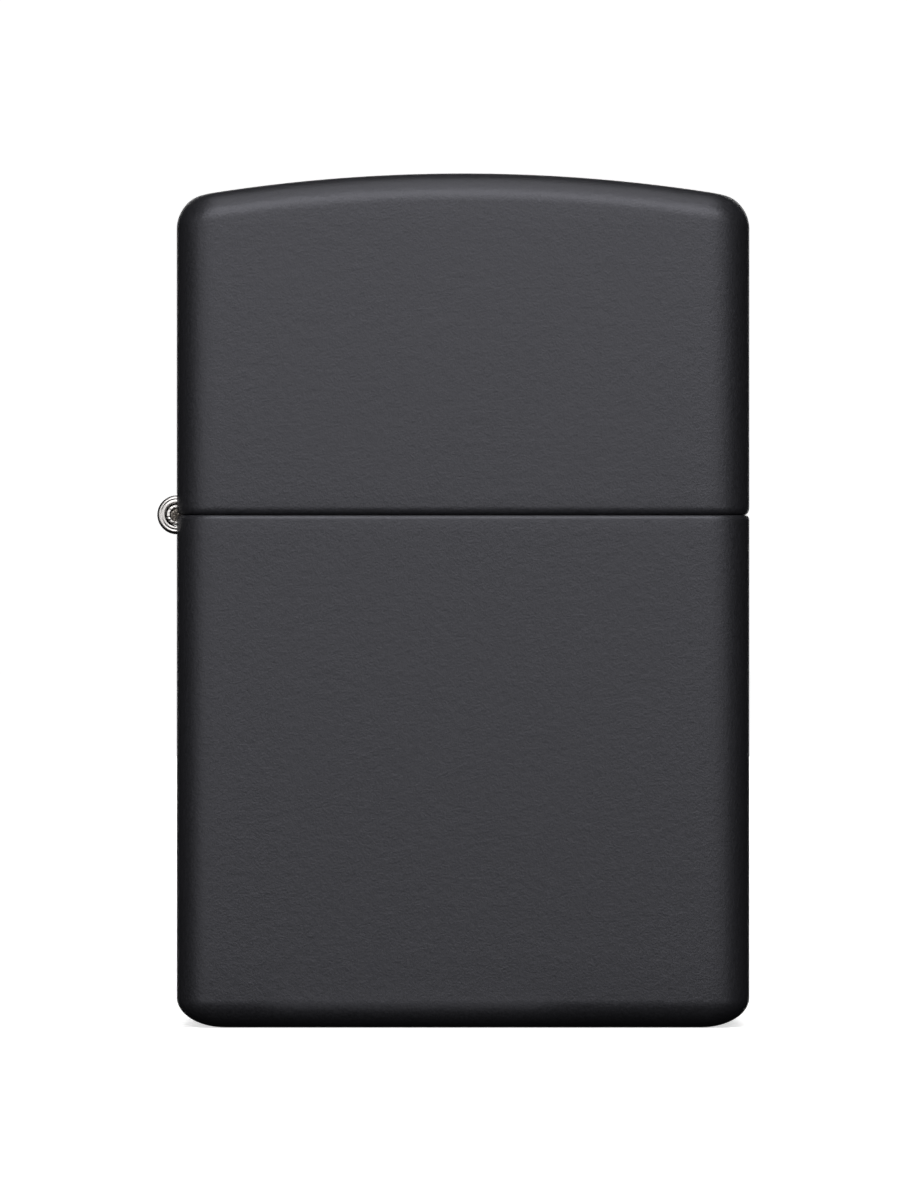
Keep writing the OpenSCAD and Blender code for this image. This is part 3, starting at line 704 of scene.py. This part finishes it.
def flint_spring():
    """A round-wire coil whose turns lie closer together at its two ends."""
    wire, coil, turns, z0, z1 = 0.17, 0.96, 16, 9.62, 30.38
    path, n = [], turns * 20
    for k in range(n + 1):
        t = k / n
        rise = t + 0.012 * math.sin(2 * math.pi * t)
        a = 2 * math.pi * turns * t
        path.append((FLINT_X + coil * math.cos(a), coil * math.sin(a), z0 + (z1 - z0) * rise))
    s = Skin()
    tube(s, path, lambda i: wire * (0.55 if i in (0, n) else 1.0), 10)
    s.join()
    s.fan(0)
    s.fan(-1)
    piece("flint_spring_coil", s.verts, s.faces, "base", [SPRING], ("flint_spring",))


flint_spring()

# ---------------------------------------------------------------- wick, wadding and felt


def resample(points, step):
    """Points along a route, evenly spaced by about step."""
    pts = [Vector(p) for p in points]
    out, carry = [pts[0]], 0.0
    for a, b in zip(pts, pts[1:]):
        length = (b - a).length
        d = step - carry
        while d <= length:
            out.append(a + (b - a) * (d / length))
            d += step
        carry = length - (d - step)
    return out


def wick():
    """Braided cotton: strands that cross over and under, with a frayed tip."""
    bend, run = 3.1, 30.0                        # bend radius, height of the first level run
    left, right = -11.5, 1.2                     # middles of the bends at the runs' two ends
    step, frayed = 0.16, 46
    route = [(WICK_X, WICK_TOP), (WICK_X, run + bend)]
    route += arc(WICK_X - bend, run + bend, bend, 0, -90, 12)[1:]
    route += arc(left, run - bend, bend, 90, 270, 20)
    route += arc(right, run - 3 * bend, bend, 90, -90, 20)
    route += arc(left, run - 5 * bend, bend, 90, 270, 20)
    route += [(right + 2, run - 6 * bend)]
    path = resample([(x, 0, z) for x, z in route], step)
    count = len(path)

    def shape(i, a):
        d = i * step
        one, other = math.sin(4 * a + d * 1.9), math.sin(4 * a - d * 1.9)
        end = min(d, (count - 1 - i) * step)
        tip = 1.0 if end > 0.5 else math.sqrt(max(0.0, 1 - (1 - end / 0.5) ** 2)) * 0.25 + 0.75
        loose = 0.0
        if d < 1.6:
            loose = 0.06 * noise.noise(Vector((math.cos(a) * 4, math.sin(a) * 4, d * 2)))
        return tip * (0.905 + 0.075 * max(abs(one), abs(other)) + 0.02 * (one * other) + loose)

    s = Skin()
    tube(s, path, WICK_R, 48, shape=shape)
    s.join()
    s.fan(0, bulge=(0, 0, 0.12))
    s.fan(-1, bulge=(0.1, 0, 0))
    # cut strand ends that stand up out of the tip, spread over it by the golden angle
    golden, thin = 2.399963, (0.13, 0.125, 0.10, 0.045)
    for k in range(frayed):
        stray = [noise.noise(Vector((k * 3.7, c * 5.1, 2.3))) for c in range(3)]
        a, r = k * golden, WICK_R * 0.84 * math.sqrt((k + 0.5) / frayed)
        root = Vector((WICK_X + r * math.cos(a), r * math.sin(a), WICK_TOP - 0.45))
        lean = Vector((math.cos(a) * 0.16 + stray[0] * 0.25, math.sin(a) * 0.16 + stray[1] * 0.25,
                       0.78 + stray[2] * 0.3))
        start = len(s.rings)
        tube(s, [root, root + lean * 0.5, root + lean * 0.85, root + lean], lambda i: thin[i], 7)
        s.close(start)
    piece("wick_braid", s.verts, s.faces, "base", [WICK], ("wick",), weld=False)


wick()


def tuft(node, number):
    """Loose fibre pressed into its place: a crowned, uneven lump with no flat faces."""
    lo, hi = (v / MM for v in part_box(node))
    centre, half = (lo + hi) / 2, (hi - lo) / 2
    bm = bmesh.new()
    bmesh.ops.create_cube(bm, size=2.0)
    bmesh.ops.subdivide_edges(bm, edges=bm.edges, cuts=23, use_grid_fill=True)
    soft = min(half) * 0.9
    seed = Vector((number * 7.3, number * 3.1, number * 11.7))
    for v in bm.verts:
        core = Vector(max(-1.0, min(1.0, c)) * max(h - soft, 0.0) for c, h in zip(v.co, half))
        out = Vector(c ** 3 for c in v.co)
        out = out.normalized() if out.length else Vector((0, 0, 1))
        p = core + out * soft
        crown = Vector(1 - 0.10 * (1 - abs(c)) ** 2 for c in v.co)
        lump = (noise.noise(p * 0.55 + seed) * 0.5 + noise.noise(p * 1.7 + seed) * 0.32
                + noise.noise(p * 5.0 + seed) * 0.14)
        p = Vector(a * b for a, b in zip(p, crown)) * 0.985
        p += out * (lump - 0.45) * min(0.5, soft * 0.42)
        v.co = centre + Vector(max(-h, min(h, c)) for c, h in zip(p, half))
    verts = [tuple(v.co) for v in bm.verts]
    faces = [tuple(v.index for v in f.verts) for f in bm.faces]
    bm.free()
    obj = piece(f"{node}_fibre", verts, faces, "base", [WADDING], (node,), sharp=180)


for number in range(1, 8):
    tuft(f"wadding_{number}", number)


def felt_pad():
    """Pressed felt with soft cut edges and a round hole for the screw."""
    lo, hi = (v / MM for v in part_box("felt_pad"))
    z0, z1 = lo[2], hi[2]
    spokes, hole_r, soft = 96, 3.15, 0.35        # soft: radius of the cut edges
    rect = rounded_box(lo[0], hi[0], lo[1], hi[1], 1.45)

    def reach(a, inset):
        """Distance from the hole's centre to the pad's edge at that angle."""
        pts = rect(inset)
        d = Vector((math.cos(a), math.sin(a)))
        best = 0.0
        for p, q in zip(pts, pts[1:] + pts[:1]):
            p, q = Vector(p) - Vector((FLINT_X, 0)), Vector(q) - Vector((FLINT_X, 0))
            e = q - p
            det = d.x * -e.y + e.x * d.y
            if abs(det) > 1e-9:
                t = (p.x * -e.y + e.x * p.y) / det
                u = (d.x * p.y - d.y * p.x) / det
                if t > 0 and -1e-6 <= u <= 1 + 1e-6:
                    best = max(best, t)
        return best

    corners = [math.atan2(y, x - FLINT_X) for x, y in rect(0.0)]
    even = [2 * math.pi * k / spokes - math.pi for k in range(spokes)]
    angles = sorted(set(round(a, 4) for a in even + corners))
    # the section from the hole to the edge: measured in from the edge, along the flat, or out from the hole
    section = [("out", soft * inward(a), z0 + soft * short(a)) for a in lerp(90, 0, 4)]
    section += [("out", 0.0, (z0 + z1) / 2)]
    section += [("out", soft * inward(a), z1 - soft * short(a)) for a in lerp(0, 90, 4)]
    section += [("mid", t, z1) for t in (0.85, 0.6, 0.35, 0.15)]
    section += [("in", soft * inward(a), z1 - soft * short(a)) for a in lerp(90, 0, 3)]
    section += [("in", soft * inward(a), z0 + soft * short(a)) for a in lerp(0, 90, 3)]
    section += [("mid", t, z0) for t in (0.15, 0.35, 0.6, 0.85)]
    s = Skin()
    for a in angles:
        full, ring = reach(a, 0.0), []
        for kind, v, z in section:
            r = {"out": full - v, "in": hole_r + v,
                 "mid": hole_r + soft + (full - hole_r - 2 * soft) * v}[kind]
            at = Vector((FLINT_X + r * math.cos(a), r * math.sin(a), z))
            fuzz = 0.05 * noise.noise(at * 0.9) + 0.02 * noise.noise(at * 4.0) - 0.05
            if kind == "mid":
                z += fuzz if z > (z0 + z1) / 2 else -fuzz
            else:
                r += fuzz if kind == "out" else -fuzz
            ring.append((FLINT_X + r * math.cos(a), r * math.sin(a), z))
        s.ring(ring)
    s.join()
    s.band(s.rings[-1][0], s.rings[0][0])
    obj = piece("felt_pad_soft", s.verts, s.faces, "base", [FELT], ("felt_pad",), sharp=180)


felt_pad()

# ---------------------------------------------------------------- CAD pieces that keep their shape

finish_cad("unit_shell", STEEL_UP, 0.07)
finish_cad("top_plate", STEEL_FLAT, 0.06)
finish_cad("cam", STEEL_BRIGHT, 0.12, segments=3)
finish_cad("cam_rivet", STEEL_BRIGHT)
finish_cad("cam_spring", SPRING, 0.04, angle=50)
finish_cad("wheel_rivet", STEEL_BRIGHT)
finish_cad("flint", FLINT, 0.06)
finish_cad("flint_plunger", BRASS, 0.08)
finish_cad("flint_tube", BRASS, 0.06)
finish_cad("flint_screw", BRASS)

# ---------------------------------------------------------------- floor, backdrop and light


def backdrop_material(name, near, far):
    """A pale surface that glows a little, less close to the object so that its shadow shows."""
    m = bpy.data.materials.new(name)
    m.use_nodes = True
    t = m.node_tree
    bsdf = t.nodes["Principled BSDF"]
    bsdf.inputs["Base Color"].default_value = (0.86, 0.86, 0.86, 1)
    bsdf.inputs["Roughness"].default_value = 0.9
    bsdf.inputs["Specular IOR Level"].default_value = 0.1
    bsdf.inputs["Emission Color"].default_value = (1, 1, 1, 1)
    coords = t.nodes.new("ShaderNodeTexCoord")
    length = t.nodes.new("ShaderNodeVectorMath")
    length.operation = "LENGTH"
    fade = t.nodes.new("ShaderNodeMapRange")
    t.links.new(coords.outputs["Object"], length.inputs[0])
    t.links.new(length.outputs["Value"], fade.inputs["Value"])
    for key, value in (("From Min", 0.03), ("From Max", 0.4), ("To Min", near), ("To Max", far)):
        fade.inputs[key].default_value = value
    t.links.new(fade.outputs["Result"], bsdf.inputs["Emission Strength"])
    return m


def stage_mesh(name, make, material):
    """A surface that the camera sees, but that throws no light or reflection on the lighter."""
    mesh = bpy.data.meshes.new(name)
    bm = bmesh.new()
    make(bm)
    bm.to_mesh(mesh)
    bm.free()
    mesh.materials.append(material)
    obj = bpy.data.objects.new(name, mesh)
    scene.collection.objects.link(obj)
    obj.visible_diffuse = obj.visible_glossy = obj.visible_transmission = False
    obj.visible_shadow = False


# In metres. Both fit within the distance that the other views' cameras see.
FLOOR_R, SKY_R = 2.2, 2.4
stage_mesh("floor", lambda bm: bmesh.ops.create_circle(bm, cap_ends=True, segments=96, radius=FLOOR_R),
           backdrop_material("pale_floor", 0.62, 1.0))
stage_mesh("backdrop", lambda bm: bmesh.ops.create_uvsphere(bm, u_segments=48, v_segments=24, radius=SKY_R),
           backdrop_material("pale_backdrop", 1.0, 1.0))


def softbox(name, at, to, width, height, power):
    """A rectangular light at one place, aimed at another, in metres and watts."""
    light = bpy.data.lights.new(name, "AREA")
    light.shape, light.size, light.size_y, light.energy = "RECTANGLE", width, height, power
    obj = bpy.data.objects.new(name, light)
    obj.location = at
    obj.rotation_euler = (Vector(to) - Vector(at)).to_track_quat("-Z", "Y").to_euler()
    obj.visible_camera = False
    scene.collection.objects.link(obj)


CENTRE = (0, 0, 0.03)
softbox("front", (0, -0.75, 0.18), CENTRE, 0.8, 0.36, 1.90)
softbox("front_near", (0, -0.21, 0.07), CENTRE, 0.32, 0.12, 0.05)
softbox("key", (0, -0.18, 0.20), CENTRE, 0.35, 0.12, 0.27)
softbox("key_low", (0, -0.18, 0.19), CENTRE, 0.35, 0.06, 0.38)
softbox("over", (0, -0.10, 0.60), CENTRE, 0.5, 0.4, 1.34)
softbox("left", (-0.5, -0.35, 0.08), CENTRE, 0.3, 0.4, 0.31)
softbox("left_front", (-0.34, -0.40, 0.08), CENTRE, 0.12, 0.4, 0.30)
softbox("right", (0.5, -0.35, 0.08), CENTRE, 0.3, 0.4, 0.13)
softbox("right_front", (0.34, -0.40, 0.08), CENTRE, 0.12, 0.4, 0.22)
softbox("back", (0, 0.75, 0.10), CENTRE, 0.6, 0.5, 3.0)
# What the pale table right before the foot throws up into the middle of the bottom rounding
softbox("table_glow", (-0.0035, -0.0088, 0.0005), (-0.0035, -0.0062, 0.0025), 0.018, 0.002, 0.00005)

world = bpy.data.worlds.new("studio")
world.use_nodes = True
world.node_tree.nodes["Background"].inputs["Color"].default_value = (0.004, 0.004, 0.004, 1)
scene.world = world
scene.view_settings.view_transform = "Standard"
